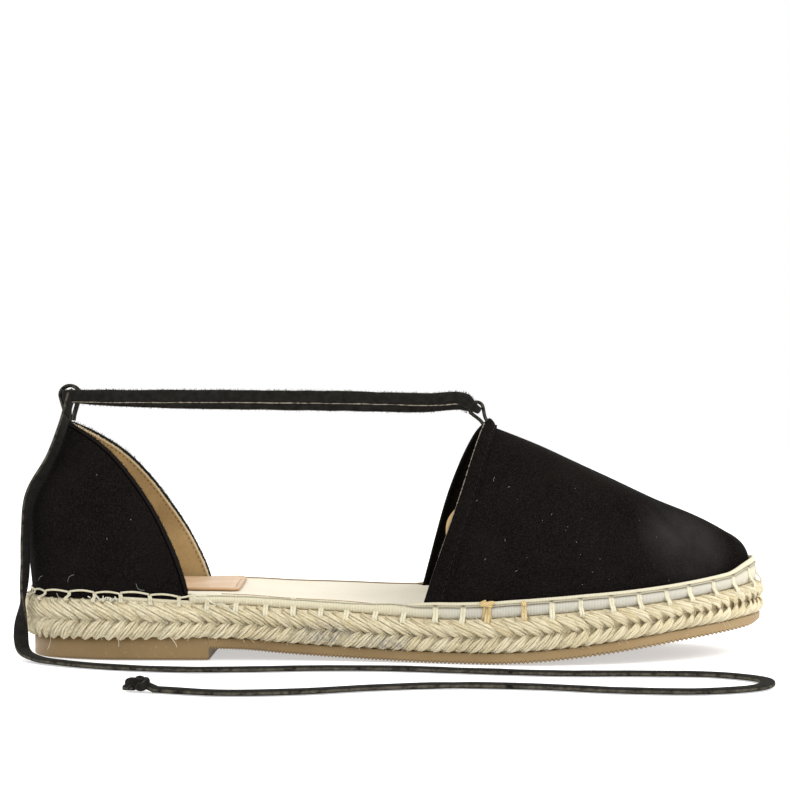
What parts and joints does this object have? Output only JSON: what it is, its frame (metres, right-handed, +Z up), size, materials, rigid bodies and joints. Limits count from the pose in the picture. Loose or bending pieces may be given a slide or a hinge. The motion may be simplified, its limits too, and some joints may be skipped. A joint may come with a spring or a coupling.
{
  "type": "flat espadrille with ankle ties",
  "caption": "Flat two-piece espadrille with a closed pointed toe, open waist, closed heel, braided jute sole edge and loose ankle ties.",
  "frame": {"origin": "on the floor, under the middle of the shoe's length and width, ties left out", "axes": "+X towards the toe, +Y towards the inner (medial) side of the foot, +Z up"},
  "size_m": [0.2578, 0.2087, 0.0931],
  "materials": {
    "rubber": "matt moulded rubber",
    "jute": "braided jute yarn",
    "canvas": "plain canvas tape",
    "insole_canvas": "fine ivory canvas",
    "pad_leather": "smooth thin leather",
    "suede": "black suede outside, tan felt lining inside",
    "lace": "black flat suede cord"
  },
  "bodies": {
    "root": {"outsole": "rubber", "jute_midsole": "jute", "rand": "canvas", "insole": "insole_canvas", "heel_pad": "pad_leather", "vamp": "suede", "heel_quarter": "suede", "heel_loop": "suede", "vamp_loop": "suede", "lace_runs": "lace", "tie_near": "lace", "tie_far": "lace", "tie_knot_near": "lace", "tie_knot_far": "lace"}
  },
  "joints": []
}
